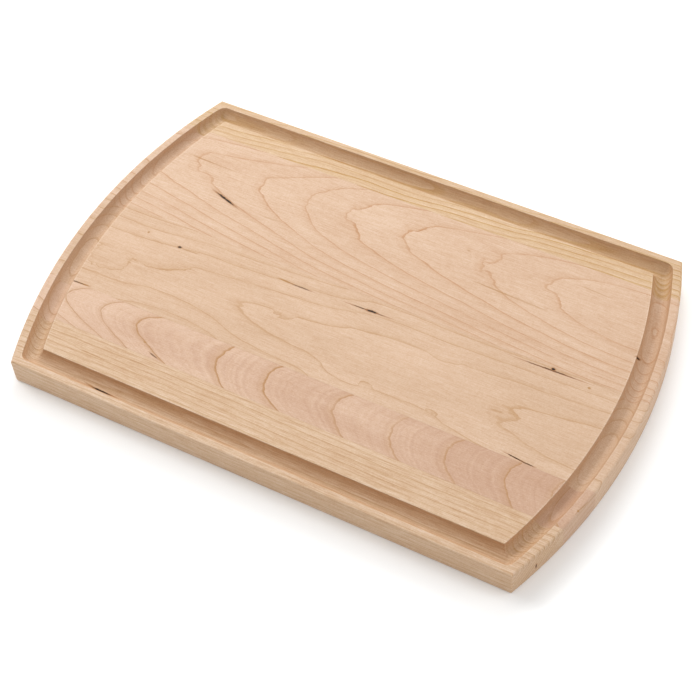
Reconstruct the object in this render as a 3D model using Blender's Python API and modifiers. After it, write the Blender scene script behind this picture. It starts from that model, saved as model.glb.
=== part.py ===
"""Cutting board glued up from five hardwood staves, with bowed ends and a juice groove.

The staves lie side by side along X and are glued edge to edge. The glued panel is cut to an
outline with two straight long sides and two bowed ends, its edges are eased, and a round-nosed
cutter runs once round the top, parallel to the outline. Each stave is its own solid, and the
glue line between two staves is a gap.

Metres, +Z up. The origin is the middle of the underside, +X runs along the board and +Y towards
its back long side.
"""
import bmesh
import bpy
from math import asin, cos, pi, sin

INCH = 0.0254

# Driving dimensions of the board.
LENGTH = 16.0 * INCH
WIDTH = 10.5 * INCH
THICKNESS = 0.0200
END_RADIUS = 14.5 * INCH

# The juice groove: a half-round channel, and the flat rim left outside it.
GROOVE_RADIUS = 0.25 * INCH
GROOVE_DEPTH = 0.00625
SIDE_RIM = 0.0052
END_RIM = 0.0062

# Radius of the eased edges, at the bowed ends and on the straight long sides.
END_EASE = 0.0020
SIDE_EASE = 0.0008
EASE_SEGMENTS = 3

# Glue line between two staves.
GLUE_GAP = 0.0003

# Staves from front (-Y) to back (+Y): name, width and colour. The last one takes the rest.
STAVES = (
    ("front_edge_stave", 0.0424, (0.66, 0.47, 0.31, 1.0)),
    ("front_inner_stave", 0.0320, (0.66, 0.43, 0.30, 1.0)),
    ("middle_stave", 0.0750, (0.69, 0.49, 0.33, 1.0)),
    ("back_inner_stave", 0.0855, (0.69, 0.48, 0.33, 1.0)),
    ("back_edge_stave", None, (0.71, 0.52, 0.34, 1.0)),
)
WOOD_ROUGHNESS = 0.55

# Fineness of the faceted solids. The ball's facets stay just inside the channel's.
END_STEPS = 28
GROOVE_SIDES = 24
BALL_SEGMENTS = 32
BALL_CLEARANCE = 0.00003

# Distance for welding, and angles in radians for a flat face and a sharp edge.
WELD = 0.000001
FLAT_ANGLE = 0.001
SHARP_ANGLE = 0.52

# How far a stave's blank runs past the finished panel.
OVERRUN = 0.010

# Values that follow from the ones above.
HALF_WIDTH = WIDTH / 2
END_CENTRE = LENGTH / 2 - END_RADIUS
PATH_RADIUS = END_RADIUS - END_RIM - GROOVE_RADIUS
PATH_HALF_WIDTH = HALF_WIDTH - SIDE_RIM - GROOVE_RADIUS
PATH_HEIGHT = THICKNESS - GROOVE_DEPTH + GROOVE_RADIUS
BALL_RADIUS = GROOVE_RADIUS * cos(pi / GROOVE_SIDES) - BALL_CLEARANCE


def remove_everything():
    """Remove the objects that a new scene starts with."""
    for obj in list(bpy.data.objects):
        bpy.data.objects.remove(obj, do_unlink=True)


def new_collection(name):
    """Add a collection to the scene and return it."""
    collection = bpy.data.collections.new(name)
    bpy.context.scene.collection.children.link(collection)
    return collection


def wood(name, colour):
    """Return a plain wood material."""
    material = bpy.data.materials.new(name)
    material.use_nodes = True
    shader = material.node_tree.nodes["Principled BSDF"]
    shader.inputs["Base Color"].default_value = colour
    shader.inputs["Roughness"].default_value = WOOD_ROUGHNESS
    shader.inputs["Metallic"].default_value = 0.0
    material.diffuse_color = colour
    return material


def end_arc(radius, half_width):
    """Return the points of the bow at +X, from front to back, as (x, y)."""
    half_angle = asin(half_width / radius)
    points = []
    for step in range(END_STEPS + 1):
        angle = half_angle * (2 * step / END_STEPS - 1)
        points.append((END_CENTRE + radius * cos(angle), radius * sin(angle)))
    return points


def half_turn(points):
    """Return (x, y) points turned half a turn about the origin."""
    return [(-x, -y) for x, y in points]


def curve_object(name, points, height, closed):
    """Return a curve object with one POLY spline through (x, y) points at one height."""
    curve = bpy.data.curves.new(name, "CURVE")
    spline = curve.splines.new("POLY")
    spline.points.add(len(points) - 1)
    for spline_point, (x, y) in zip(spline.points, points):
        spline_point.co = (x, y, 0.0, 1.0)
    spline.use_cyclic_u = closed
    obj = bpy.data.objects.new(name, curve)
    obj.location.z = height
    return obj


def to_mesh_object(curve_obj, collection):
    """Replace a curve object with a mesh object whose loose caps are welded on."""
    name = curve_obj.name
    collection.objects.link(curve_obj)
    depsgraph = bpy.context.evaluated_depsgraph_get()
    mesh = bpy.data.meshes.new_from_object(curve_obj.evaluated_get(depsgraph))
    place = curve_obj.matrix_world.copy()
    bpy.data.objects.remove(curve_obj, do_unlink=True)
    work = bmesh.new()
    work.from_mesh(mesh)
    bmesh.ops.remove_doubles(work, verts=work.verts, dist=WELD)
    bmesh.ops.dissolve_limit(
        work, angle_limit=FLAT_ANGLE, verts=work.verts, edges=work.edges, use_dissolve_boundaries=False
    )
    bmesh.ops.recalc_face_normals(work, faces=work.faces)
    work.to_mesh(mesh)
    work.free()
    obj = bpy.data.objects.new(name, mesh)
    obj.matrix_world = place
    collection.objects.link(obj)
    return obj


def make_tool(obj):
    """Show an object as a tool: a wire in the viewport, and nothing in a render."""
    obj.display_type = "WIRE"
    obj.hide_render = True


def add_boolean(obj, tool, operation):
    """Cut or join an object with a tool."""
    modifier = obj.modifiers.new(tool.name, "BOOLEAN")
    modifier.operation = operation
    modifier.solver = "EXACT"
    modifier.object = tool


def set_edge_weights(mesh):
    """Weigh the edges for Bevel: 1 along the bowed ends, less along the straight sides."""
    side_weight = SIDE_EASE / END_EASE
    work = bmesh.new()
    work.from_mesh(mesh)
    layer = work.edges.layers.float.new("bevel_weight_edge")
    for edge in work.edges:
        first, second = edge.verts
        runs_level = abs(first.co.z - second.co.z) < WELD
        on_side = min(abs(first.co.y), abs(second.co.y)) > HALF_WIDTH - WELD
        if on_side:
            edge[layer] = side_weight
        elif runs_level:
            edge[layer] = 1.0
    work.to_mesh(mesh)
    work.free()


def make_panel_form(tools):
    """Make the outline of the whole board with its eased edges."""
    bow = end_arc(END_RADIUS, HALF_WIDTH)
    outline = curve_object("panel_form", bow + half_turn(bow), THICKNESS / 2, True)
    outline.data.dimensions = "2D"
    outline.data.fill_mode = "BOTH"
    outline.data.extrude = THICKNESS / 2
    form = to_mesh_object(outline, tools)
    set_edge_weights(form.data)
    ease = form.modifiers.new("eased_edges", "BEVEL")
    ease.limit_method = "WEIGHT"
    ease.width = END_EASE
    ease.segments = EASE_SEGMENTS
    make_tool(form)
    return form


def make_tube(name, points, tools):
    """Make the channel that the cutter leaves along one stretch of its path."""
    path = curve_object(name, points, PATH_HEIGHT, False)
    path.data.dimensions = "3D"
    path.data.twist_mode = "Z_UP"
    path.data.bevel_depth = GROOVE_RADIUS
    path.data.bevel_resolution = GROOVE_SIDES // 2 - 2
    path.data.use_fill_caps = True
    tube = to_mesh_object(path, tools)
    make_tool(tube)
    return tube


def make_ball(name, x, y, tools):
    """Make the round nose of the cutter where its path turns a corner."""
    mesh = bpy.data.meshes.new(name)
    work = bmesh.new()
    bmesh.ops.create_uvsphere(
        work, u_segments=BALL_SEGMENTS, v_segments=BALL_SEGMENTS // 2, radius=BALL_RADIUS
    )
    work.to_mesh(mesh)
    work.free()
    ball = bpy.data.objects.new(name, mesh)
    ball.location = (x, y, PATH_HEIGHT)
    tools.objects.link(ball)
    make_tool(ball)
    return ball


def make_groove_tools(tools):
    """Make the tools that cut the juice groove: four stretches and four corners."""
    right = end_arc(PATH_RADIUS, PATH_HALF_WIDTH)
    left = half_turn(right)
    stretches = (
        ("groove_right", right),
        ("groove_back", [right[-1], left[0]]),
        ("groove_left", left),
        ("groove_front", [left[-1], right[0]]),
    )
    made = []
    for name, points in stretches:
        made.append(make_tube(name, points, tools))
        corner_x, corner_y = points[0]
        made.append(make_ball(name + "_corner", corner_x, corner_y, tools))
    return made


def make_stave(name, low, high, colour, form, board):
    """Make one stave: a straight blank, cut to the shape of the finished panel."""
    mesh = bpy.data.meshes.new(name)
    work = bmesh.new()
    bmesh.ops.create_cube(work, size=1.0)
    size = (LENGTH + 2 * OVERRUN, high - low, THICKNESS + 2 * OVERRUN)
    bmesh.ops.scale(work, vec=size, verts=work.verts)
    work.to_mesh(mesh)
    work.free()
    stave = bpy.data.objects.new(name, mesh)
    stave.location = (0.0, (low + high) / 2, THICKNESS / 2)
    board.objects.link(stave)
    mesh.materials.append(wood(name + "_wood", colour))
    add_boolean(stave, form, "INTERSECT")
    return stave


def keep_cut_shape(stave):
    """Give a stave its cut shape as its own mesh, smooth where it is round."""
    depsgraph = bpy.context.evaluated_depsgraph_get()
    shape = bpy.data.meshes.new_from_object(stave.evaluated_get(depsgraph))
    blank = stave.data
    stave.modifiers.clear()
    stave.data = shape
    bpy.data.meshes.remove(blank)
    shape.name = stave.name
    shape.shade_smooth()
    shape.set_sharp_from_angle(angle=SHARP_ANGLE)


def make_staves(form, board):
    """Make the staves side by side, with a glue line between each two."""
    front = -HALF_WIDTH
    for name, width, colour in STAVES:
        back = HALF_WIDTH if width is None else front + width
        low = front - OVERRUN if front == -HALF_WIDTH else front + GLUE_GAP / 2
        high = back + OVERRUN if back == HALF_WIDTH else back - GLUE_GAP / 2
        keep_cut_shape(make_stave(name, low, high, colour, form, board))
        front = back


def build():
    """Build the whole board."""
    remove_everything()
    board = new_collection("cutting_board")
    tools = new_collection("cutters")
    form = make_panel_form(tools)
    for tool in make_groove_tools(tools):
        add_boolean(form, tool, "DIFFERENCE")
    make_staves(form, board)


build()
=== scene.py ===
"""Looks of a cutting board glued up from five hardwood staves, with bowed ends and a juice groove.

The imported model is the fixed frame. Each of its staves is stood for by a finer one, with a smooth
groove, softened lips and eased edges. Solid wood runs through it: growth rings round a pith, fibres,
pores, rays and small dark gum streaks, all in the board's own coordinates.

Metres, +Z up. The origin is the middle of the underside, and +X runs along the board.
"""
from math import asin, cos, pi, radians, sin, sqrt

import bmesh
import bpy
from mathutils import Matrix, Vector


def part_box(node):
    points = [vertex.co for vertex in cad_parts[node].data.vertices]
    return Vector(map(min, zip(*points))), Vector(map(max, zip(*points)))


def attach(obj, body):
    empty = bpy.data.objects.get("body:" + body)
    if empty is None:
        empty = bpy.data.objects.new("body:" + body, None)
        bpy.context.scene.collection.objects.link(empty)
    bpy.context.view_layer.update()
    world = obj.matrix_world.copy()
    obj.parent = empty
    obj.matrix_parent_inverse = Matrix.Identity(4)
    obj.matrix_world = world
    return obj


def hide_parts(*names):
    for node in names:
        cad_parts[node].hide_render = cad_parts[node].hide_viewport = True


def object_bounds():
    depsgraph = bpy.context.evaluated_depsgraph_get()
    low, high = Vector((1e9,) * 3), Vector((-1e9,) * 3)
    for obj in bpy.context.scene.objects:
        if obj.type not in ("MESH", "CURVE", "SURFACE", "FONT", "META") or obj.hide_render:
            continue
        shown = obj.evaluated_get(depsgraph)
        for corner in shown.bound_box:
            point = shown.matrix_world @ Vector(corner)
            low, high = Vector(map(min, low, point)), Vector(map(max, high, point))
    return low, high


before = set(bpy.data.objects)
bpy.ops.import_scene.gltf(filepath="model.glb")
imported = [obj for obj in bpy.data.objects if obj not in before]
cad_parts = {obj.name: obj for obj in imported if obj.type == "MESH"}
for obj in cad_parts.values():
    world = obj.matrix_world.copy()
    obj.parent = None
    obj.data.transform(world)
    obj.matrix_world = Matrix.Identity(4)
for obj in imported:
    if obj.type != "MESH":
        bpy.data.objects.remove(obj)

MM = 0.001
INCH = 0.0254

# The board's box, and its staves with their places, as packed.
CAD_LOW, CAD_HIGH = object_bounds()
STAVE_NAMES = sorted(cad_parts, key=lambda name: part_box(name)[0].y)
HALF_LENGTH = (CAD_HIGH.x - CAD_LOW.x) / 2
HALF_WIDTH = (CAD_HIGH.y - CAD_LOW.y) / 2
TOP = CAD_HIGH.z

# Bowed ends, juice groove, flat rim and eased edges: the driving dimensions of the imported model.
END_RADIUS = 14.5 * INCH
GROOVE_RADIUS = 0.25 * INCH
GROOVE_DEPTH = 6.25 * MM
SIDE_RIM = 5.2 * MM
END_RIM = 6.2 * MM
END_EASE = 2.0 * MM
SIDE_EASE = 0.8 * MM

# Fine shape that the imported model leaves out: the groove's softened lips, the rounding of the four
# corners, the strips that keep flat faces flat beside a curve, and the hairline glue lines.
LIP_EASE = 0.30 * MM
CORNER_ROUND = 0.9 * MM
SHARPEST_ROUND = 0.05 * MM
HOLD = 0.30 * MM
SEAM_GAP = 0.04 * MM

# Fineness of the mesh: steps along and across the board's skin.
SIDE_STEPS = 60
CORNER_STEPS = 14
END_STEPS = 48
COVE_STEPS = 18
LIP_STEPS = 3
EASE_STEPS = 6
WELD = 0.001 * MM
SHARP_ANGLE = radians(35.0)

# Values that follow from the ones above.
END_CENTRE = HALF_LENGTH - END_RADIUS
CORNER_X = END_CENTRE + sqrt(END_RADIUS ** 2 - HALF_WIDTH ** 2)
PATH_RADIUS = END_RADIUS - END_RIM - GROOVE_RADIUS
PATH_HALF_WIDTH = HALF_WIDTH - SIDE_RIM - GROOVE_RADIUS
PATH_HEIGHT = TOP - GROOVE_DEPTH + GROOVE_RADIUS
LIP_RISE = PATH_HEIGHT - TOP + LIP_EASE
LIP_REACH = sqrt((GROOVE_RADIUS + LIP_EASE) ** 2 - LIP_RISE ** 2)

# How bright a pure white top face comes out under the studio's light, where 1 shows as white.
LIGHT_LEVEL = 1.50

# Powers of a shade that red, green and blue take, so that darker wood is also warmer.
SHADE_POWERS = (0.6, 1.0, 1.5)


# ---------------------------------------------------------------- shape of the board

def rail(side, radius, corner_radius, side_height, end_height):
    """Return one line round a quarter of the board, from mid front to mid right end.

    It runs straight at y = -side, turns the corner on corner_radius and follows the bow's radius.
    """
    turn_angle = asin((side - corner_radius) / (radius - corner_radius))
    turn_x = END_CENTRE + (radius - corner_radius) * cos(turn_angle)
    turn_y = corner_radius - side
    points = []
    for step in range(SIDE_STEPS):
        points.append((turn_x * step / SIDE_STEPS, -side, side_height))
    for step in range(CORNER_STEPS + 1):
        share = step / CORNER_STEPS
        angle = -pi / 2 + share * (pi / 2 - turn_angle)
        height = side_height + share * (end_height - side_height)
        x = turn_x + corner_radius * cos(angle)
        y = turn_y + corner_radius * sin(angle)
        points.append((x, y, height))
    for step in range(1, END_STEPS + 1):
        angle = -turn_angle * (1 - step / END_STEPS)
        points.append((END_CENTRE + radius * cos(angle), radius * sin(angle), end_height))
    return points


def groove_half_profile():
    """Return the groove's section from its bottom outwards, as (distance from its middle, height)."""
    wall_angle = pi / 2 - asin(LIP_RISE / (GROOVE_RADIUS + LIP_EASE))
    points = []
    for step in range(COVE_STEPS + 1):
        angle = wall_angle * step / COVE_STEPS
        points.append((GROOVE_RADIUS * sin(angle), PATH_HEIGHT - GROOVE_RADIUS * cos(angle)))
    for step in range(1, LIP_STEPS + 1):
        angle = wall_angle * (1 - step / LIP_STEPS)
        points.append((LIP_REACH - LIP_EASE * sin(angle), TOP - LIP_EASE * (1 - cos(angle))))
    points.append((LIP_REACH + HOLD, TOP))
    return points


def groove_rails():
    """Return the groove's lines, from the inner lip to the outer one.

    The inner wall meets in a mitre at each corner, and the outer wall turns on the cutter's radius.
    """
    half = groove_half_profile()
    rails = []
    for distance, height in reversed(half[1:]):
        rails.append(rail(PATH_HALF_WIDTH - distance, PATH_RADIUS - distance, 0.0, height, height))
    for distance, height in half:
        side = PATH_HALF_WIDTH + distance
        rails.append(rail(side, PATH_RADIUS + distance, distance, height, height))
    return rails


def edge_rail(side_inset, end_inset, side_height, end_height):
    """Return a line of the outer edge, this far inside the outline."""
    corner = max(CORNER_ROUND - (side_inset + end_inset) / 2, SHARPEST_ROUND)
    return rail(HALF_WIDTH - side_inset, END_RADIUS - end_inset, corner, side_height, end_height)


def eased_edge_rails():
    """Return the lines over the top's eased edge, from the flat rim to the side face."""
    rails = [edge_rail(SIDE_EASE + HOLD, END_EASE + HOLD, TOP, TOP)]
    for step in range(EASE_STEPS + 1):
        angle = pi / 2 * step / EASE_STEPS
        inset = 1 - sin(angle)
        drop = 1 - cos(angle)
        side_height = TOP - SIDE_EASE * drop
        end_height = TOP - END_EASE * drop
        rails.append(edge_rail(SIDE_EASE * inset, END_EASE * inset, side_height, end_height))
    rails.append(edge_rail(0.0, 0.0, TOP - SIDE_EASE - HOLD, TOP - END_EASE - HOLD))
    return rails


def upside_down(rails):
    """Return lines mirrored in the board's middle height, in the opposite order."""
    return [[(x, y, TOP - z) for x, y, z in points] for points in reversed(rails)]


def make_quarter():
    """Return a mesh of the front right quarter of the board's skin."""
    edge = eased_edge_rails()
    work = bmesh.new()
    lines = []
    for points in groove_rails() + edge + upside_down(edge):
        lines.append([work.verts.new(point) for point in points])
    for inner, outer in zip(lines, lines[1:]):
        for place in range(len(inner) - 1):
            work.faces.new((inner[place], inner[place + 1], outer[place + 1], outer[place]))
    work.faces.new([work.verts.new((0.0, 0.0, TOP))] + lines[0])
    work.faces.new([work.verts.new((0.0, 0.0, 0.0))] + lines[-1])
    bmesh.ops.remove_doubles(work, verts=work.verts, dist=WELD)
    mesh = bpy.data.meshes.new("board_quarter")
    work.to_mesh(mesh)
    work.free()
    return mesh


def make_skin():
    """Return a mesh of the whole board's closed skin."""
    quarter = bpy.data.objects.new("board_quarter", make_quarter())
    bpy.context.scene.collection.objects.link(quarter)
    mirror = quarter.modifiers.new("both_sides_and_ends", "MIRROR")
    mirror.use_axis = (True, True, False)
    mirror.merge_threshold = WELD
    depsgraph = bpy.context.evaluated_depsgraph_get()
    skin = bpy.data.meshes.new_from_object(quarter.evaluated_get(depsgraph))
    bpy.data.objects.remove(quarter, do_unlink=True)
    return skin


def cut_off(work, y, direction):
    """Cut the board across at y, drop what lies beyond in that direction, and close the cut."""
    geometry = work.verts[:] + work.edges[:] + work.faces[:]
    cut = bmesh.ops.bisect_plane(
        work, geom=geometry, dist=WELD, plane_co=(0.0, y, 0.0), plane_no=(0.0, direction, 0.0),
        clear_outer=True,
    )
    edges = [item for item in cut["geom_cut"] if isinstance(item, bmesh.types.BMEdge)]
    bmesh.ops.holes_fill(work, edges=edges)


def make_stave(name, skin, seams):
    """Make one fine stave out of the board's skin, between its seams."""
    low, high = seams
    work = bmesh.new()
    work.from_mesh(skin)
    if low is not None:
        cut_off(work, low + SEAM_GAP / 2, -1.0)
    if high is not None:
        cut_off(work, high - SEAM_GAP / 2, 1.0)
    bmesh.ops.recalc_face_normals(work, faces=work.faces)
    mesh = bpy.data.meshes.new(name + "_finish")
    work.to_mesh(mesh)
    work.free()
    mesh.shade_smooth()
    mesh.set_sharp_from_angle(angle=SHARP_ANGLE)
    stave = bpy.data.objects.new(name + "_finish", mesh)
    bpy.context.scene.collection.objects.link(stave)
    return stave


def seams_of(name):
    """Return the y of a stave's two glue lines, with None where the board ends."""
    place = STAVE_NAMES.index(name)
    low = None
    high = None
    if place > 0:
        below = STAVE_NAMES[place - 1]
        low = (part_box(below)[1].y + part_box(name)[0].y) / 2
    if place < len(STAVE_NAMES) - 1:
        above = STAVE_NAMES[place + 1]
        high = (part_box(name)[1].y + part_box(above)[0].y) / 2
    return low, high


# ---------------------------------------------------------------- wood

def wood_tone(red, green, blue):
    """Return the surface colour that shows as this 8-bit sRGB colour under the studio light."""
    linear = []
    for value in (red, green, blue):
        share = value / 255
        linear.append(((share + 0.055) / 1.055) ** 2.4 / LIGHT_LEVEL)
    return (*linear, 1.0)


class Graph:
    """Short names for the shader nodes of one material, or of the sky."""

    # A Mix node holds sockets for every kind of data: these are the share's and the colours'.
    MIX_SHARE = 0
    MIX_FIRST = 6
    MIX_SECOND = 7
    MIX_RESULT = 2

    def __init__(self, tree):
        self.tree = tree

    def node(self, kind, **settings):
        """Add a node and set its properties."""
        made = self.tree.nodes.new(kind)
        for name, value in settings.items():
            setattr(made, name, value)
        return made

    def feed(self, socket, value):
        """Link an output to a socket, or set the socket's own value."""
        if isinstance(value, bpy.types.NodeSocket):
            self.tree.links.new(value, socket)
        else:
            socket.default_value = value

    def math(self, operation, *values, clamp=False):
        """Return the result of a Math node."""
        made = self.node("ShaderNodeMath", operation=operation, use_clamp=clamp)
        for socket, value in zip(made.inputs, values):
            self.feed(socket, value)
        return made.outputs[0]

    def total(self, *values):
        """Return the sum of several values."""
        result = values[0]
        for value in values[1:]:
            result = self.math("ADD", result, value)
        return result

    def product(self, *values):
        """Return the product of several values."""
        result = values[0]
        for value in values[1:]:
            result = self.math("MULTIPLY", result, value)
        return result

    def split(self, vector):
        """Return a vector's three parts."""
        made = self.node("ShaderNodeSeparateXYZ")
        self.feed(made.inputs[0], vector)
        return made.outputs

    def times(self, vector, factors):
        """Return a vector times another, axis by axis."""
        made = self.node("ShaderNodeVectorMath", operation="MULTIPLY")
        self.feed(made.inputs[0], vector)
        self.feed(made.inputs[1], factors)
        return made.outputs[0]

    def shaded(self, colour, shade):
        """Return a colour in a shade of wood: a darker one loses most blue and least red."""
        factors = self.node("ShaderNodeCombineXYZ")
        for socket, power in zip(factors.inputs, SHADE_POWERS):
            self.feed(socket, self.math("POWER", shade, power))
        return self.times(colour, factors.outputs[0])

    def noise(self, vector, size, detail=2.0, seed=0.0):
        """Return solid noise about 0, with features of this size in metres along each axis."""
        placed = self.node("ShaderNodeVectorMath", operation="ADD")
        self.feed(placed.inputs[0], self.times(vector, [1 / side for side in size]))
        placed.inputs[1].default_value = (seed, 2 * seed, 3 * seed)
        made = self.node("ShaderNodeTexNoise", noise_dimensions="3D")
        self.feed(made.inputs["Vector"], placed.outputs[0])
        made.inputs["Scale"].default_value = 1.0
        made.inputs["Detail"].default_value = detail
        return self.math("MULTIPLY_ADD", made.outputs[0], 2.0, -1.0)

    def noise_along(self, value, detail=2.0):
        """Return noise about 0 that depends on one number only."""
        made = self.node("ShaderNodeTexNoise", noise_dimensions="1D")
        self.feed(made.inputs["W"], value)
        made.inputs["Scale"].default_value = 1.0
        made.inputs["Detail"].default_value = detail
        return self.math("MULTIPLY_ADD", made.outputs[0], 2.0, -1.0)

    def random_of(self, value):
        """Return a fixed random number from 0 to 1 for each value."""
        made = self.node("ShaderNodeTexWhiteNoise", noise_dimensions="1D")
        self.feed(made.inputs["W"], value)
        return made.outputs["Value"]

    def range(self, value, low, high, to_low=0.0, to_high=1.0, kind="SMOOTHSTEP"):
        """Return a value carried from one range to another."""
        made = self.node("ShaderNodeMapRange", interpolation_type=kind)
        self.feed(made.inputs["Value"], value)
        made.inputs["From Min"].default_value = low
        made.inputs["From Max"].default_value = high
        made.inputs["To Min"].default_value = to_low
        made.inputs["To Max"].default_value = to_high
        return made.outputs[0]

    def through(self, value, points):
        """Return a smooth curve's value at x, through (x, value) points."""
        low, high = points[0][0], points[-1][0]
        least = min(height for place, height in points)
        most = max(height for place, height in points) + MM
        made = self.node("ShaderNodeFloatCurve")
        curve = made.mapping.curves[0]
        while len(curve.points) < len(points):
            curve.points.new(0.5, 0.5)
        for point, (place, height) in zip(curve.points, points):
            point.location = ((place - low) / (high - low), (height - least) / (most - least))
        made.mapping.update()
        self.feed(made.inputs["Value"], self.range(value, low, high, kind="LINEAR"))
        return self.math("MULTIPLY_ADD", made.outputs[0], most - least, least)

    def mix(self, share, first, second):
        """Return a mix of two colours."""
        made = self.node("ShaderNodeMix", data_type="RGBA")
        self.feed(made.inputs[self.MIX_SHARE], share)
        self.feed(made.inputs[self.MIX_FIRST], first)
        self.feed(made.inputs[self.MIX_SECOND], second)
        return made.outputs[self.MIX_RESULT]


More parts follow.
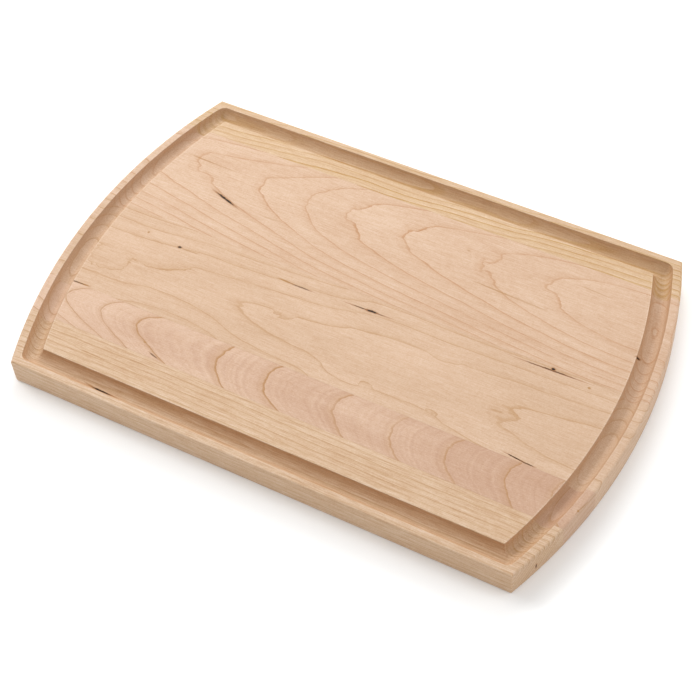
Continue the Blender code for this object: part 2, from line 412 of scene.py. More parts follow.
# How each stave was sawn, in the board's coordinates.
# - "pith" is the line, as (x, y), under which the middle of the tree lies.
# - "rings" is how many growth rings lie between it and the top face, as (x, count): a ring comes
#   to the surface in an arch wherever the count passes a whole number.
# - "ring" is how thick a ring is, going down into the stave.
# - "above" and "below" hold for the side of the pith towards +Y and the side towards -Y: how far
#   out the next ring comes up, and the power by which the rings crowd beyond it.
# - "spread" narrows the arches, and "drift_above" and "drift_below" carry the lines on each side
#   of the pith away from it, all as (x, value).
# - "waver", "jitter" and "flame" are how many rings the lines stray, in large patches, in small
#   ones and in long thin ones.
# - "line" is how strong the rings' lines are, and "bold" names the rings with the strongest ones.
#   "line_width" is a line's width in rings, and "widen" how much it grows beside the pith.
# - "bands" is how strong the tones between the lines are, and "band_count" how many a ring holds.
# - "routed" is how much painted shade darkens the groove's side walls.
# - "fibre" is how strong the fibres are, and "along" how much the wood deepens towards +X:
#   partly its own tone, partly painted shade where the light falls off towards +X.
# - "base", "deep" and "mark" are its palest wood, its deepest and its lines, as 8-bit colours.
# - "seed" keeps the noise in one stave apart from the noise in the others.
GRAIN = {
    "front_edge_stave": {
        "seed": 1.0,
        "ring": 4.0 * MM,
        "above": (4.3 * MM, 1.0),
        "below": (4.3 * MM, 1.0),
        "pith": ((-0.21, -0.062), (-0.05, -0.060), (0.08, -0.0615), (0.21, -0.057)),
        "rings": ((-0.21, 6.0), (0.21, 6.0)),
        "spread": ((-0.21, 1.0), (0.0, 1.05), (0.21, 1.0)),
        "drift_above": ((-0.21, 0.0), (0.21, 0.0)),
        "drift_below": ((-0.21, 0.0), (0.21, 0.0)),
        "waver": 0.35,
        "jitter": 0.05,
        "flame": 0.0,
        "line": 0.9,
        "bold": (15.0, 17.0),
        "line_width": 0.13,
        "routed": 0.58,
        "widen": 0.0,
        "bands": 0.8,
        "band_count": 7.0,
        "fibre": 0.39,
        "along": 0.6,
        "base": (236, 203, 171),
        "deep": (222, 184, 148),
        "mark": (196, 150, 92),
    },
    "front_inner_stave": {
        "seed": 2.0,
        "ring": 6.0 * MM,
        "above": (30.0 * MM, 2.0),
        "below": (30.0 * MM, 2.0),
        "pith": (
            (-0.21, -0.068), (-0.13, -0.070), (-0.05, -0.071), (0.10, -0.071), (0.21, -0.068),
        ),
        "rings": (
            (-0.206, 19.0), (-0.176, 18.0), (-0.148, 17.0), (-0.120, 16.0), (-0.058, 15.0),
            (-0.021, 14.0), (0.028, 13.0), (0.068, 12.0), (0.106, 11.0), (0.146, 10.0),
            (0.176, 9.0), (0.206, 8.0),
        ),
        "spread": ((-0.21, 1.9), (-0.14, 1.8), (-0.11, 1.45), (-0.05, 1.0), (0.21, 1.0)),
        "drift_above": ((-0.21, 0.0), (0.21, 0.0)),
        "drift_below": ((-0.21, 0.0), (0.21, 0.0)),
        "waver": 0.08,
        "jitter": 0.03,
        "flame": 0.03,
        "line": 1.0,
        "bold": (14.0, 15.0, 16.0),
        "line_width": 0.045,
        "routed": 0.56,
        "widen": 1.0,
        "bands": 0.70,
        "band_count": 11.0,
        "fibre": 0.15,
        "along": 2.1,
        "base": (236, 200, 172),
        "deep": (213, 171, 142),
        "mark": (194, 144, 92),
    },
    "middle_stave": {
        "seed": 3.0,
        "ring": 5.0 * MM,
        "above": (20.0 * MM, 1.6),
        "below": (20.0 * MM, 1.6),
        "pith": (
            (-0.21, -0.034), (-0.165, -0.032), (-0.067, -0.0255), (0.03, -0.030), (0.126, -0.038),
            (0.21, -0.036),
        ),
        "rings": (
            (-0.21, 8.9), (-0.165, 8.9), (-0.10, 8.3), (-0.067, 8.0), (0.03, 7.6), (0.10, 7.25),
            (0.127, 7.0), (0.21, 6.4),
        ),
        "spread": ((-0.21, 1.0), (0.21, 1.0)),
        "drift_above": (
            (-0.21, 0.008), (-0.165, 0.005), (-0.11, 0.0), (-0.07, -0.003), (-0.03, -0.002),
            (0.0, 0.0035), (0.015, 0.008), (0.055, 0.011), (0.10, 0.0135), (0.15, 0.0115),
            (0.21, 0.009),
        ),
        "drift_below": (
            (-0.21, -0.0075), (-0.165, -0.0075), (-0.125, -0.0015), (-0.095, 0.001),
            (-0.06, -0.0045), (-0.03, -0.0065), (-0.006, -0.006), (0.015, -0.0125),
            (0.035, -0.008), (0.062, -0.002), (0.08, 0.001), (0.10, -0.001), (0.21, 0.001),
        ),
        "waver": 0.10,
        "jitter": 0.05,
        "flame": 0.05,
        "line": 0.80,
        "bold": (),
        "line_width": 0.05,
        "routed": 0.56,
        "widen": 0.6,
        "bands": 0.42,
        "band_count": 9.0,
        "fibre": 0.22,
        "along": 0.4,
        "base": (236, 201, 171),
        "deep": (221, 184, 151),
        "mark": (198, 150, 96),
    },
    "back_inner_stave": {
        "seed": 4.0,
        "ring": 5.5 * MM,
        "above": (23.5 * MM, 2.3),
        "below": (28.2 * MM, 2.2),
        "pith": ((-0.21, 0.078), (-0.16, 0.078), (-0.11, 0.076), (0.0, 0.077), (0.21, 0.076)),
        "rings": (
            (-0.215, 17.0), (-0.162, 16.0), (-0.110, 15.0), (-0.072, 14.0), (-0.042, 13.0),
            (0.003, 12.0), (0.060, 11.0), (0.109, 10.0), (0.160, 9.22), (0.190, 9.12), (0.215, 9.0),
        ),
        "spread": ((-0.21, 0.95), (0.0, 1.0), (0.21, 1.08)),
        "drift_above": (
            (-0.21, -0.006), (-0.12, -0.006), (-0.09, -0.004), (-0.05, -0.001), (0.21, 0.0),
        ),
        "drift_below": ((-0.21, 0.0), (0.21, 0.0)),
        "waver": 0.08,
        "jitter": 0.05,
        "flame": 0.06,
        "line": 0.95,
        "bold": (),
        "line_width": 0.04,
        "routed": 0.56,
        "widen": 1.4,
        "bands": 0.42,
        "band_count": 17.0,
        "fibre": 0.25,
        "along": 1.1,
        "base": (236, 202, 173),
        "deep": (223, 184, 152),
        "mark": (202, 147, 98),
    },
    "back_edge_stave": {
        "seed": 5.0,
        "ring": 4.0 * MM,
        "above": (4.6 * MM, 1.0),
        "below": (4.6 * MM, 1.0),
        "pith": (
            (-0.21, 0.140), (-0.17, 0.141), (-0.07, 0.149), (-0.01, 0.149), (0.025, 0.152),
            (0.06, 0.152), (0.08, 0.155), (0.12, 0.158), (0.21, 0.160),
        ),
        "rings": ((-0.21, 9.0), (0.21, 9.0)),
        "spread": ((-0.21, 0.9), (0.0, 1.0), (0.21, 1.1)),
        "drift_above": ((-0.21, 0.0), (0.21, 0.0)),
        "drift_below": ((-0.21, 0.0), (0.21, 0.0)),
        "waver": 0.60,
        "jitter": 0.06,
        "flame": 0.0,
        "line": 1.0,
        "bold": (18.0, 19.0),
        "line_width": 0.28,
        "routed": 0.28,
        "widen": 0.0,
        "bands": 0.55,
        "band_count": 7.0,
        "fibre": 0.31,
        "along": 0.8,
        "base": (236, 203, 169),
        "deep": (222, 185, 146),
        "mark": (202, 156, 84),
    },
}

# Places where a stave's rings swell: stave, middle (x, y), reach along and across, rings.
SWELLS = (
    ("middle_stave", (-0.168, -0.0300), (0.014, 0.0095), 0.48),
    ("middle_stave", (-0.135, -0.0190), (0.022, 0.008), 0.30),
    ("middle_stave", (-0.037, -0.0205), (0.007, 0.008), 0.22),
    ("middle_stave", (0.072, -0.0050), (0.012, 0.008), 0.22),
    ("middle_stave", (0.129, -0.0290), (0.010, 0.006), 0.065),
    ("middle_stave", (0.036, -0.0480), (0.006, 0.003), 0.25),
    ("middle_stave", (0.085, -0.0480), (0.005, 0.003), 0.20),
    ("back_inner_stave", (-0.146, 0.0655), (0.009, 0.006), 0.15),
    ("back_inner_stave", (-0.032, 0.0640), (0.010, 0.008), 0.20),
    ("back_inner_stave", (-0.033, 0.0860), (0.008, 0.006), 0.14),
    ("back_inner_stave", (0.008, 0.0860), (0.009, 0.006), 0.12),
    ("back_inner_stave", (0.067, 0.0820), (0.008, 0.006), 0.17),
    ("back_inner_stave", (0.071, 0.0665), (0.008, 0.006), 0.14),
    ("back_inner_stave", (0.117, 0.0680), (0.009, 0.006), 0.10),
)

# Dark gum streaks: stave, from (x, y), to (x, y), height of the middle, half thickness, strength.
GUM_STREAKS = (
    ("back_inner_stave", (-0.1345, 0.0533), (-0.1160, 0.0474), TOP, 0.80 * MM, 1.0),
    ("back_inner_stave", (0.1798, 0.0458), (0.1842, 0.0500), TOP - 2.5 * MM, 0.75 * MM, 1.0),
    ("middle_stave", (-0.003, 0.0053), (0.024, 0.0059), TOP, 0.42 * MM, 0.85),
    ("middle_stave", (0.009, 0.0057), (0.017, 0.0059), TOP, 0.85 * MM, 1.0),
    ("middle_stave", (0.117, 0.0127), (0.158, 0.0136), TOP, 0.42 * MM, 0.75),
    ("middle_stave", (0.130, 0.0130), (0.148, 0.0136), TOP, 0.60 * MM, 0.6),
    ("middle_stave", (0.1368, 0.0145), (0.1396, 0.0145), TOP, 1.00 * MM, 1.0),
    ("middle_stave", (-0.046, 0.0034), (-0.031, 0.0035), TOP, 0.50 * MM, 0.65),
    ("middle_stave", (-0.1318, -0.0018), (-0.1290, -0.0012), TOP, 0.90 * MM, 0.9),
    ("middle_stave", (0.1385, -0.0567), (0.152, -0.0582), TOP, 0.42 * MM, 0.9),
    ("middle_stave", (0.149, -0.0581), (0.158, -0.0584), TOP, 0.40 * MM, 0.8),
    ("middle_stave", (-0.184, -0.0583), (-0.170, -0.0579), TOP, 0.42 * MM, 0.70),
    ("front_inner_stave", (-0.1005, -0.0873), (-0.0930, -0.0894), TOP, 0.45 * MM, 0.65),
    ("front_edge_stave", (-0.123, -0.1238), (-0.1060, -0.1243), TOP - 6.0 * MM, 0.75 * MM, 0.95),
    ("front_edge_stave", (0.1835, -0.1155), (0.1865, -0.1133), TOP - 11.5 * MM, 0.38 * MM, 0.8),
)

# Tan marks that hold no gum: stave, from (x, y), to (x, y), height, half thickness, strength.
TAN_MARKS = (
    ("back_inner_stave", (-0.170, 0.0768), (-0.146, 0.0760), TOP, 0.60 * MM, 0.70),
    ("back_inner_stave", (-0.150, 0.0762), (-0.132, 0.0757), TOP, 0.40 * MM, 0.35),
    ("back_inner_stave", (-0.094, 0.0476), (-0.080, 0.0481), TOP, 0.70 * MM, 0.35),
    ("back_inner_stave", (0.062, 0.0582), (0.092, 0.0568), TOP, 0.60 * MM, 0.65),
    ("back_inner_stave", (0.086, 0.0572), (0.116, 0.0560), TOP, 0.70 * MM, 0.40),
    ("back_inner_stave", (0.126, 0.0850), (0.146, 0.0842), TOP, 0.50 * MM, 0.40),
    ("back_inner_stave", (0.0455, 0.0808), (0.0485, 0.0806), TOP, 0.60 * MM, 0.50),
    ("middle_stave", (-0.1578, 0.0010), (-0.1562, 0.0009), TOP, 0.80 * MM, 0.90),
    ("middle_stave", (-0.128, -0.0022), (-0.115, -0.0013), TOP, 0.45 * MM, 0.60),
    ("middle_stave", (-0.152, -0.0040), (-0.142, -0.0040), TOP, 0.60 * MM, 0.30),
    ("middle_stave", (-0.057, 0.0040), (-0.043, 0.0036), TOP, 0.60 * MM, 0.90),
    ("middle_stave", (0.1630, 0.0107), (0.1652, 0.0107), TOP, 1.00 * MM, 0.90),
    ("middle_stave", (0.1155, -0.0308), (0.1245, -0.0303), TOP, 0.80 * MM, 0.45),
    ("middle_stave", (-0.177, -0.0580), (-0.1665, -0.0576), TOP, 0.60 * MM, 0.90),
    ("front_inner_stave", (-0.1090, -0.0812), (-0.1066, -0.0818), TOP, 0.60 * MM, 0.80),
    ("front_inner_stave", (0.1933, -0.0755), (0.1947, -0.0755), TOP, 0.70 * MM, 0.80),
    ("front_inner_stave", (0.1932, -0.0790), (0.1968, -0.0660), TOP, 0.30 * MM, 0.50),
    ("front_edge_stave", (-0.130, -0.1222), (-0.119, -0.1240), TOP - 6.0 * MM, 0.50 * MM, 0.60),
    ("front_edge_stave", (-0.145, -0.1050), (-0.120, -0.1053), TOP, 0.45 * MM, 0.70),
)

# Colours that every stave shares, as 8-bit colours.
GUM = (40, 22, 8)
GUM_STAIN = (178, 120, 70)
TAN = (188, 138, 78)
END_GRAIN = (211, 183, 159)
# Painted shade: the groove's darker, more orange tone stands in for its shadow and bounced light.
GROOVE_SHADE = (214, 158, 106)
# Painted highlight for the lips of the groove.
LIP_HIGHLIGHT = (255, 232, 204)
# Painted sheen: a paler, greyer tone on the flat rim.
RIM_SHEEN = (222, 193, 170)

# Solid noises in the wood: a feature's size along X, Y and Z, the noise's detail and its seed.
NOISES = {
    "waver": ((70 * MM, 14 * MM, 14 * MM), 1.0, 0.0),
    "jitter": ((12 * MM, 4 * MM, 4 * MM), 2.0, 20.0),
    "flame": ((70 * MM, 5 * MM, 5 * MM), 1.0, 25.0),
    "fading": ((45 * MM, 12 * MM, 12 * MM), 1.0, 31.0),
    "ragged": ((7 * MM, 4 * MM, 4 * MM), 2.0, 35.0),
    "cloud": ((90 * MM, 22 * MM, 22 * MM), 2.0, 40.0),
    "fibre": ((14 * MM, 0.65 * MM, 0.65 * MM), 3.0, 50.0),
    "fine": ((7 * MM, 0.30 * MM, 0.30 * MM), 1.0, 55.0),
    "mottle": ((1.6 * MM, 5.0 * MM, 5.0 * MM), 2.0, 60.0),
    "grit": ((0.9 * MM, 0.45 * MM, 0.45 * MM), 1.0, 65.0),
    "pore": ((3.0 * MM, 0.22 * MM, 0.22 * MM), 1.0, 70.0),
    "patchy": ((9 * MM, 9 * MM, 9 * MM), 2.0, 80.0),
    "wobble": ((3.0 * MM, 1.0 * MM, 1.0 * MM), 3.0, 90.0),
}

# Noises that are the same in every stave. In the others a stave's own seed is added.
SHARED_NOISES = ("fading", "ragged", "patchy", "wobble")

# Where a face counts as end grain and where as level, by how far its normal points that way.
END_FACING = (0.45, 0.95)
LEVEL_FACING = (0.5, 0.9)

# How far from the pith the lines beside it take up their whole drift.
DRIFT_FADE = 12 * MM

# How ragged a swell's outline is along and across, and where it has died out, in squared reaches.
RAGGED_ALONG = 7 * MM
RAGGED_ACROSS = 3 * MM
SWELL_END = 1.6

# How strong a plain ring's line is, least and most, and a bold one's. The plain ones fade to a
# share of that where the fading noise is low. RINGS_APART keeps one stave's ring numbers apart
# from another's.
PLAIN_RING = (0.60, 0.80)
BOLD_RING = 0.86
FADING = (-0.45, 0.20)
FADED_SHARE = 0.60
RINGS_APART = 100.0

# How much stronger and wider lines get where the rings swell, and wider where cut across.
SWELL_STRENGTH = 1.2
SWELL_WIDTH = 3.0
ACROSS_WIDTH = 1.6

# A line's dark core and its soft side, from and to in line widths, and how dark the soft side is.
LINE_CORE = (0.3, 1.2)
LINE_SOFT = (0.5, 4.0)
SOFT_SHARE = 0.30

# Changes to the lines' strength: in all of the groove, on its side walls as well, and on the rims
# of the two ends, which start this far before the board's corners.
GROOVE_FADE = -0.05
SIDE_WALL_FADE = -0.50
END_RIM_STRENGTH = 0.45
END_RIM_START = 8 * MM

# A streak's height above and below its middle, and how far its outline wobbles, in thicknesses.
STREAK_DEPTH = 2.5 * MM
STREAK_WOBBLE = 0.9

# Where tan, a stain and its gum start and are full, in squared distances from a streak's middle.
TAN_EDGE = (1.6, 0.2)
STAIN_EDGE = (2.8, 0.8)
GUM_EDGE = (1.0, 0.45)
STAIN_STRENGTH = 0.75

# Where the routed surface starts under the top, how far under the groove's bottom it is over, and
# how far beside the lips it still counts.
ROUTED_START = (0.1 * MM, 0.8 * MM)
ROUTED_END = (3 * MM, 1 * MM)
ROUTED_MARGIN = 0.3 * MM

# Painted highlight on the lips: from the lip, down from the top, in patches, and on the outer lip.
HIGHLIGHT_REACH = (0.15 * MM, 0.75 * MM)
HIGHLIGHT_DEPTH = (0.7 * MM, 0.1 * MM)
HIGHLIGHT_PATCHES = (-0.5, 0.3)
LEAST_HIGHLIGHT = 0.35
OUTER_HIGHLIGHT = 0.35

# What makes the wood's tone, from 0 for its base colour to 1 for its deep one.
MIDDLE_TONE = 0.42
CLOUD_TONE = 0.75
RING_TONE = 0.20
BAND_TONE = 0.60
BAND_DETAIL = 3.0
TONE_LIMITS = (-0.2, 1.2)

# Shares of the shared colours: on end grain, of the painted highlight on the lips, of the painted
# sheen on the rim, of the painted shade in all of the groove, and of the painted shade added
# where the groove faces the board's ends.
END_GRAIN_SHARE = 0.55
LIP_HIGHLIGHT_SHARE = 0.30
RIM_SHEEN_SHARE = 0.15
GROOVE_SHADE_SHARE = 0.10
GROOVE_END_SHADE_SHARE = 0.30

# How much each fine detail lightens and darkens the wood. The fine fibres take a share of the
# stave's own fibre strength.
FINE_SHARE = 0.6
MOTTLE_SHADE = 0.06
GRIT_SHADE = 0.20
PORE_SHADE = -0.05
RAY_SHADE = 0.16
CUTTER_SHADE = 0.12

# Noise that makes a pore, how deep the rays' centre lies under the top, how many rays there are
# for each unit of slope from it, and the width of the cutter's marks.
PORE_RANGE = (0.30, 0.62)
RAY_CENTRE_DEPTH = 55 * MM
RAY_COUNT = 75.0
CUTTER_MARK = 0.9 * MM

# Sheen and relief of the surface.
ROUGHNESS = 0.58
FIBRE_ROUGHNESS = 0.05
END_ROUGHNESS = 0.12
SPECULAR = 0.20
FIBRE_HEIGHT = 0.35
PORE_HEIGHT = -0.6
LINE_HEIGHT = 0.3
BUMP_STRENGTH = 0.5
BUMP_DISTANCE = 0.04 * MM


def from_groove_path(graph, x, y):
    """Return how far outside the groove's middle line each point lies, seen from above."""
    beyond_side = graph.math("SUBTRACT", graph.math("ABSOLUTE", y), PATH_HALF_WIDTH)
    from_middle = graph.math("SUBTRACT", graph.math("ABSOLUTE", x), END_CENTRE)
    squares = graph.math("ADD", graph.math("POWER", from_middle, 2.0), graph.math("POWER", y, 2.0))
    beyond_end = graph.math("SUBTRACT", graph.math("SQRT", squares), PATH_RADIUS)
    return graph.math("MAXIMUM", beyond_side, beyond_end)


def groove_share(graph, off_path, z):
    """Return 1 on the routed surface of the groove and 0 elsewhere."""
    start, full = ROUTED_START
    over, last = ROUTED_END
    bottom = TOP - GROOVE_DEPTH
    below_top = graph.range(z, TOP - start, TOP - full)
    above_end = graph.range(z, bottom - over, bottom - last)
    inside = graph.math("LESS_THAN", graph.math("ABSOLUTE", off_path), LIP_REACH + ROUTED_MARGIN)
    return graph.product(inside, below_top, above_end)


class Spot:
    """A shaded point of one stave: where on the board it lies, and which way its face looks."""

    def __init__(self, graph, name):
        self.name = name
        self.grain = GRAIN[name]
        coordinates = graph.node("ShaderNodeTexCoord")
        self.place = coordinates.outputs["Object"]
        self.x, self.y, self.z = graph.split(self.place)
        normal_x, normal_y, normal_z = graph.split(coordinates.outputs["Normal"])
        self.depth = graph.math("SUBTRACT", TOP, self.z)
        self.end_share = graph.range(graph.math("ABSOLUTE", normal_x), *END_FACING)
        self.side_share = graph.math("ABSOLUTE", normal_y)
        self.off_path = from_groove_path(graph, self.x, self.y)
        self.groove = groove_share(graph, self.off_path, self.z)
        outside = graph.math("GREATER_THAN", self.off_path, LIP_REACH)
        self.on_rim = graph.math("MULTIPLY", outside, graph.range(normal_z, *LEVEL_FACING))
        from_middle = graph.math("ABSOLUTE", self.x)
        at_end = graph.range(from_middle, CORNER_X - END_RIM_START, CORNER_X)
        self.on_end_rim = graph.math("MULTIPLY", self.on_rim, at_end)
        not_side = graph.math("SUBTRACT", 1.0, self.side_share)
        self.in_end_groove = graph.math("MULTIPLY", self.groove, not_side)
        self.across_grain = graph.math("MAXIMUM", self.in_end_groove, self.end_share)


def wood_noise(graph, spot, kind):
    """Return one of the wood's noises at each point."""
    size, detail, seed = NOISES[kind]
    if kind not in SHARED_NOISES:
        seed += spot.grain["seed"]
    return graph.noise(spot.place, size, detail, seed)


def arches_beside_pith(graph, spot, off_pith):
    """Return how many arches each point lies beside the pith, and how many rings that adds.

    The lines on either side of the pith drift away from it along the stave.
    """
    spread = graph.through(spot.x, spot.grain["spread"])
    sides = []
    for side, sign in (("above", 1.0), ("below", -1.0)):
        arch, power = spot.grain[side]
        out = graph.math("MULTIPLY", off_pith, sign)
        drift = graph.math("MULTIPLY", graph.through(spot.x, spot.grain["drift_" + side]), sign)
        share = graph.range(out, 0.0, DRIFT_FADE)
        moved = graph.math("SUBTRACT", out, graph.math("MULTIPLY", drift, share))
        arches = graph.math("DIVIDE", graph.math("MAXIMUM", moved, 0.0), arch)
        arches = graph.math("MULTIPLY", arches, spread)
        sides.append((arches, graph.math("POWER", arches, power)))
    (above, rings_above), (below, rings_below) = sides
    return graph.math("ADD", above, below), graph.math("ADD", rings_above, rings_below)


def swells(graph, spot):
    """Return how many rings the wood swells by at each point, in ragged patches."""
    ragged = wood_noise(graph, spot, "ragged")
    x = graph.math("MULTIPLY_ADD", ragged, RAGGED_ALONG, spot.x)
    y = graph.math("MULTIPLY_ADD", ragged, RAGGED_ACROSS, spot.y)
    result = 0.0
    for stave, middle, reach, rings in SWELLS:
        if stave == spot.name:
            along = graph.math("DIVIDE", graph.math("SUBTRACT", x, middle[0]), reach[0])
            across = graph.math("DIVIDE", graph.math("SUBTRACT", y, middle[1]), reach[1])
            along_squared = graph.math("POWER", along, 2.0)
            squares = graph.math("ADD", along_squared, graph.math("POWER", across, 2.0))
            swell = graph.range(squares, 0.0, SWELL_END, rings, 0.0)
            result = graph.math("ADD", swell, result)
    return result


def ring_count(graph, spot, rings_beside, swell):
    """Return how many rings lie between the pith and each point."""
    grain = spot.grain
    return graph.total(
        graph.through(spot.x, grain["rings"]),
        graph.math("DIVIDE", spot.depth, -grain["ring"]),
        rings_beside,
        swell,
        graph.math("MULTIPLY", wood_noise(graph, spot, "waver"), grain["waver"]),
        graph.math("MULTIPLY", wood_noise(graph, spot, "jitter"), grain["jitter"]),
        graph.math("MULTIPLY", wood_noise(graph, spot, "flame"), grain["flame"]),
    )


def ring_strength(graph, spot, count, swell):
    """Return how strong each ring's line is: most on a bold ring, and more where rings swell."""
    number = graph.math("FLOOR", count)
    chosen = graph.math("ADD", number, RINGS_APART * spot.grain["seed"])
    least, most = PLAIN_RING
    plain = graph.range(graph.random_of(chosen), 0.0, 1.0, least, most, "LINEAR")
    fade = graph.range(wood_noise(graph, spot, "fading"), *FADING, FADED_SHARE, 1.0)
    strength = graph.math("MULTIPLY", plain, fade)
    for ring in spot.grain["bold"]:
        bold = graph.math("MULTIPLY", graph.math("COMPARE", number, ring, 0.5), BOLD_RING)
        strength = graph.math("MAXIMUM", strength, bold)
    swollen = graph.math("MULTIPLY_ADD", swell, SWELL_STRENGTH, 1.0)
    return graph.product(strength, swollen, spot.grain["line"])


def ring_line(graph, spot, count, arches, swell):
    """Return how dark the line at each ring's edge is: sharp towards the pith, soft away from it.

    Lines broaden beside the pith, where the rings swell, and where the grain is cut across. They
    are faint on the groove's side walls, and clear on the rims of the ends.
    """
    widened = graph.total(
        1.0,
        graph.math("MULTIPLY", arches, spot.grain["widen"]),
        graph.math("MULTIPLY", swell, SWELL_WIDTH),
        graph.math("MULTIPLY", spot.across_grain, ACROSS_WIDTH),
    )
    width = graph.math("MULTIPLY", widened, spot.grain["line_width"])
    reach = graph.math("DIVIDE", graph.math("FRACT", count), width)
    core = graph.range(reach, *LINE_CORE, 1.0, 0.0)
    soft = graph.range(reach, *LINE_SOFT, SOFT_SHARE, 0.0)
    line = graph.math("MAXIMUM", core, soft)
    fade = graph.math("MULTIPLY_ADD", spot.side_share, SIDE_WALL_FADE, GROOVE_FADE)
    clearness = graph.total(
        1.0,
        graph.math("MULTIPLY", spot.groove, fade),
        graph.math("MULTIPLY", spot.on_end_rim, END_RIM_STRENGTH),
    )
    return graph.product(line, ring_strength(graph, spot, count, swell), clearness)


def streak(graph, spot, wobble, start, end, height, thickness):
    """Return the squared distance from one lens-shaped streak's middle: 1 at its rim."""
    along = Vector((end[0] - start[0], end[1] - start[1]))
    half = along.length / 2
    direction = along.normalized()
    from_x = graph.math("SUBTRACT", spot.x, (start[0] + end[0]) / 2)
    from_y = graph.math("SUBTRACT", spot.y, (start[1] + end[1]) / 2)
    run = graph.math("MULTIPLY", from_y, direction.y / half)
    run = graph.math("MULTIPLY_ADD", from_x, direction.x / half, run)
    off = graph.math("MULTIPLY", from_x, -direction.y / thickness)
    off = graph.math("MULTIPLY_ADD", from_y, direction.x / thickness, off)
    off = graph.math("ADD", off, graph.math("MULTIPLY", wobble, STREAK_WOBBLE))
    down = graph.math("DIVIDE", graph.math("SUBTRACT", spot.z, height), STREAK_DEPTH)
    squares = [graph.math("POWER", value, 2.0) for value in (run, off, down)]
    return graph.total(*squares)


def with_marks(graph, spot, colour):
    """Return the wood's colour with the stave's tan marks and its gum streaks in it."""
    wobble = wood_noise(graph, spot, "wobble")
    for stave, start, end, height, thickness, strength in TAN_MARKS:
        if stave == spot.name:
            distance = streak(graph, spot, wobble, start, end, height, thickness)
            stain = graph.range(distance, *TAN_EDGE, 0.0, strength)
            colour = graph.mix(stain, colour, wood_tone(*TAN))
    for stave, start, end, height, thickness, strength in GUM_STREAKS:
        if stave == spot.name:
            distance = streak(graph, spot, wobble, start, end, height, thickness)
            stain = graph.range(distance, *STAIN_EDGE, 0.0, STAIN_STRENGTH * strength)
            colour = graph.mix(stain, colour, wood_tone(*GUM_STAIN))
            core = graph.range(distance, *GUM_EDGE, 0.0, strength)
            colour = graph.mix(core, colour, wood_tone(*GUM))
    return colour


def painted_lip_highlight(graph, spot):
    """Return the painted highlight on the groove's lips, the inner lip most, from 0 to 1."""
    off_middle = graph.math("ABSOLUTE", spot.off_path)
    from_lip = graph.math("ABSOLUTE", graph.math("SUBTRACT", off_middle, LIP_REACH))
    near = graph.range(from_lip, *HIGHLIGHT_REACH, 1.0, 0.0)
    lowest, highest = HIGHLIGHT_DEPTH
    high = graph.range(spot.z, TOP - lowest, TOP - highest)
    patchy = graph.range(wood_noise(graph, spot, "patchy"), *HIGHLIGHT_PATCHES, LEAST_HIGHLIGHT, 1.0)
    inner_lip_most = graph.range(spot.off_path, 0.0, GROOVE_RADIUS, 1.0, OUTER_HIGHLIGHT)
    return graph.product(near, high, patchy, inner_lip_most)


def plain_colour(graph, spot, count):
    """Return the wood's colour between the lines, with its clouds and its bands."""
    grain = spot.grain
    band_place = graph.math("MULTIPLY", count, grain["band_count"])
    band_noise = graph.noise_along(band_place, BAND_DETAIL)
    bands = graph.math("MULTIPLY", band_noise, grain["bands"])
    ring_tone = graph.math("SUBTRACT", graph.random_of(graph.math("FLOOR", count)), 0.5)
    tone = graph.total(
        MIDDLE_TONE,
        graph.math("MULTIPLY", wood_noise(graph, spot, "cloud"), CLOUD_TONE),
        graph.math("MULTIPLY", ring_tone, RING_TONE),
        graph.math("MULTIPLY", bands, BAND_TONE),
        # Partly the stave's own tone, partly painted shade for light that falls off towards +X.
        graph.math("MULTIPLY", spot.x, grain["along"]),
    )
    least, most = TONE_LIMITS
    tone = graph.math("MAXIMUM", graph.math("MINIMUM", tone, most), least)
    return graph.mix(tone, wood_tone(*grain["base"]), wood_tone(*grain["deep"]))


def worked_colour(graph, spot, colour, line):
    """Return the colour with end grain, lines, painted groove shade, lip highlight and rim sheen."""
    end_grain = graph.math("MULTIPLY", spot.end_share, END_GRAIN_SHARE)
    colour = graph.mix(end_grain, colour, wood_tone(*END_GRAIN))
    line = graph.math("MULTIPLY", line, 1.0, clamp=True)
    colour = graph.mix(line, colour, wood_tone(*spot.grain["mark"]))
    # Painted shade in the groove, most on its side walls and where it faces the ends.
    painted_groove_shade = graph.total(
        GROOVE_SHADE_SHARE,
        graph.math("MULTIPLY", spot.side_share, spot.grain["routed"]),
        graph.math("MULTIPLY", spot.end_share, GROOVE_END_SHADE_SHARE),
    )
    colour = graph.mix(graph.math("MULTIPLY", spot.groove, painted_groove_shade), colour, wood_tone(*GROOVE_SHADE))
    # Painted highlight along the groove's lips.
    highlight = graph.math("MULTIPLY", painted_lip_highlight(graph, spot), LIP_HIGHLIGHT_SHARE)
    colour = graph.mix(highlight, colour, wood_tone(*LIP_HIGHLIGHT))
    # Painted sheen on the flat rim.
    return graph.mix(graph.math("MULTIPLY", spot.on_rim, RIM_SHEEN_SHARE), colour, wood_tone(*RIM_SHEEN))


def fine_shade(graph, spot, fibre, pores, off_pith):
    """Return the fine light and dark in the wood: fibres, pores, rays and the cutter's marks."""
    ray_height = graph.math("SUBTRACT", RAY_CENTRE_DEPTH, spot.depth)
    slope = graph.math("DIVIDE", off_pith, ray_height)
    rays = graph.noise_along(graph.math("MULTIPLY", slope, RAY_COUNT))
    cutter_marks = graph.noise_along(graph.math("DIVIDE", spot.off_path, CUTTER_MARK))
    strength = spot.grain["fibre"]
    return graph.total(
        1.0,
        graph.math("MULTIPLY", fibre, strength),
        graph.math("MULTIPLY", wood_noise(graph, spot, "fine"), FINE_SHARE * strength),
        graph.math("MULTIPLY", wood_noise(graph, spot, "mottle"), MOTTLE_SHADE),
        graph.math("MULTIPLY", wood_noise(graph, spot, "grit"), GRIT_SHADE),
        graph.math("MULTIPLY", pores, PORE_SHADE),
        graph.product(rays, spot.end_share, RAY_SHADE),
        graph.product(cutter_marks, spot.in_end_groove, CUTTER_SHADE),
    )


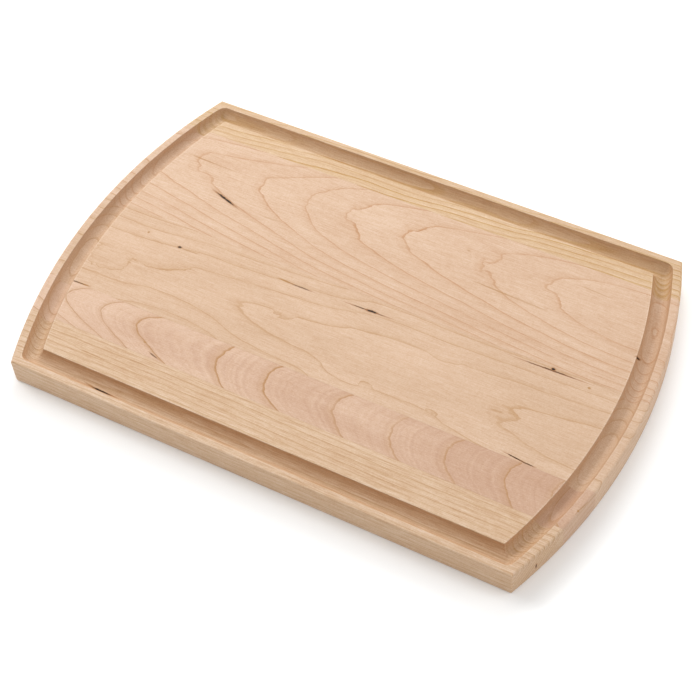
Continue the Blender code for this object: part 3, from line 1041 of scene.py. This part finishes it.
def make_relief(graph, shader, fibre, pores, line):
    """Give the surface its fine relief: raised fibres and lines, and sunken pores."""
    bump = graph.node("ShaderNodeBump")
    bump.inputs["Strength"].default_value = BUMP_STRENGTH
    bump.inputs["Distance"].default_value = BUMP_DISTANCE
    height = graph.total(
        graph.math("MULTIPLY", fibre, FIBRE_HEIGHT),
        graph.math("MULTIPLY", pores, PORE_HEIGHT),
        graph.math("MULTIPLY", line, LINE_HEIGHT),
    )
    graph.feed(bump.inputs["Height"], height)
    graph.feed(shader.inputs["Normal"], bump.outputs[0])


def make_wood(name):
    """Return the wood of one stave."""
    material = bpy.data.materials.new(name + "_wood")
    material.use_nodes = True
    graph = Graph(material.node_tree)
    shader = graph.tree.nodes["Principled BSDF"]
    spot = Spot(graph, name)

    off_pith = graph.math("SUBTRACT", spot.y, graph.through(spot.x, spot.grain["pith"]))
    arches, rings_beside = arches_beside_pith(graph, spot, off_pith)
    swell = swells(graph, spot)
    count = ring_count(graph, spot, rings_beside, swell)
    line = ring_line(graph, spot, count, arches, swell)
    fibre = wood_noise(graph, spot, "fibre")
    pores = graph.range(wood_noise(graph, spot, "pore"), *PORE_RANGE)

    colour = plain_colour(graph, spot, count)
    colour = worked_colour(graph, spot, colour, line)
    colour = graph.shaded(colour, fine_shade(graph, spot, fibre, pores, off_pith))
    graph.feed(shader.inputs["Base Color"], with_marks(graph, spot, colour))
    roughness = graph.total(
        ROUGHNESS,
        graph.math("MULTIPLY", fibre, FIBRE_ROUGHNESS),
        graph.math("MULTIPLY", spot.end_share, END_ROUGHNESS),
    )
    graph.feed(shader.inputs["Roughness"], roughness)
    shader.inputs["Specular IOR Level"].default_value = SPECULAR
    make_relief(graph, shader, fibre, pores, line)
    return material


def make_staves():
    """Make every stave's fine shape and wood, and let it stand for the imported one."""
    skin = make_skin()
    for name in STAVE_NAMES:
        stave = make_stave(name, skin, seams_of(name))
        stave.data.materials.append(make_wood(name))
        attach(stave, "root")
        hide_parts(name)


# ---------------------------------------------------------------- studio

FLOOR_HALF = 12.0
FLOOR_COLOUR = (0.95, 0.95, 0.945, 1.0)
FLOOR_ROUGHNESS = 0.9
FLOOR_SPECULAR = 0.1
WHITE = (1.0, 1.0, 1.0, 1.0)

# How strong the sky is at the horizon and overhead, and the height where it has changed over.
SKY_AT_HORIZON = 1.79
SKY_OVERHEAD = 0.67
HORIZON_BAND = 0.30

# Softboxes: name, place, side and power in watts. The strongest hangs behind the board.
SOFTBOXES = (
    ("back_light", (-0.30, 1.30, 1.00), 0.8, 13.4),
    ("left_light", (-1.30, 0.10, 1.20), 0.7, 12.4),
    ("high_light", (-0.85, 0.80, 1.40), 1.2, 4.4),
    ("right_fill", (1.30, 0.30, 0.70), 1.0, 6.1),
)

# The camera's place, its view and upward directions, its lens and sensor in millimetres, and how
# near it sees.
CAMERA_PLACE = (0.3634, -0.5915, 0.8704)
CAMERA_FORWARD = (-0.3231, 0.5224, -0.7891)
CAMERA_UP = (-0.3474, 0.7102, 0.6124)
CAMERA_LENS = 86.33
CAMERA_SENSOR = 36.0
CAMERA_NEAR = 0.01


def make_floor():
    """Make a plain pale floor under the board."""
    mesh = bpy.data.meshes.new("floor")
    work = bmesh.new()
    bmesh.ops.create_grid(work, x_segments=1, y_segments=1, size=FLOOR_HALF)
    work.to_mesh(mesh)
    work.free()
    material = bpy.data.materials.new("pale_floor")
    material.use_nodes = True
    shader = material.node_tree.nodes["Principled BSDF"]
    shader.inputs["Base Color"].default_value = FLOOR_COLOUR
    shader.inputs["Roughness"].default_value = FLOOR_ROUGHNESS
    shader.inputs["Specular IOR Level"].default_value = FLOOR_SPECULAR
    mesh.materials.append(material)
    floor = bpy.data.objects.new("floor", mesh)
    bpy.context.scene.collection.objects.link(floor)


def make_sky():
    """Light the studio softly from all round, more from near the horizon than from above."""
    world = bpy.data.worlds.new("studio")
    world.use_nodes = True
    graph = Graph(world.node_tree)
    background = graph.tree.nodes["Background"]
    background.inputs["Color"].default_value = WHITE
    direction = graph.split(graph.node("ShaderNodeTexCoord").outputs["Generated"])
    strength = graph.range(direction["Z"], 0.0, HORIZON_BAND, SKY_AT_HORIZON, SKY_OVERHEAD)
    graph.feed(background.inputs["Strength"], strength)
    bpy.context.scene.world = world


def make_softbox(name, place, size, power):
    """Hang a square soft light that faces the board."""
    light = bpy.data.lights.new(name, "AREA")
    light.shape = "SQUARE"
    light.size = size
    light.energy = power
    lamp = bpy.data.objects.new(name, light)
    lamp.location = place
    lamp.rotation_mode = "QUATERNION"
    lamp.rotation_quaternion = (-Vector(place)).to_track_quat("-Z", "Y")
    bpy.context.scene.collection.objects.link(lamp)


def make_camera():
    """Stand the camera in front of the board, to its right and above."""
    forward = Vector(CAMERA_FORWARD).normalized()
    right = forward.cross(Vector(CAMERA_UP)).normalized()
    up = right.cross(forward)
    turn = Matrix((right, up, -forward)).transposed()
    camera = bpy.data.cameras.new("camera")
    camera.sensor_width = CAMERA_SENSOR
    camera.lens = CAMERA_LENS
    camera.clip_start = CAMERA_NEAR
    holder = bpy.data.objects.new("camera", camera)
    holder.matrix_world = Matrix.Translation(CAMERA_PLACE) @ turn.to_4x4()
    bpy.context.scene.collection.objects.link(holder)
    bpy.context.scene.camera = holder


def make_studio():
    """Make the floor, the lights and the camera, and show colours as they are."""
    make_floor()
    make_sky()
    for name, place, size, power in SOFTBOXES:
        make_softbox(name, place, size, power)
    make_camera()
    bpy.context.scene.view_settings.view_transform = "Standard"


make_studio()
make_staves()
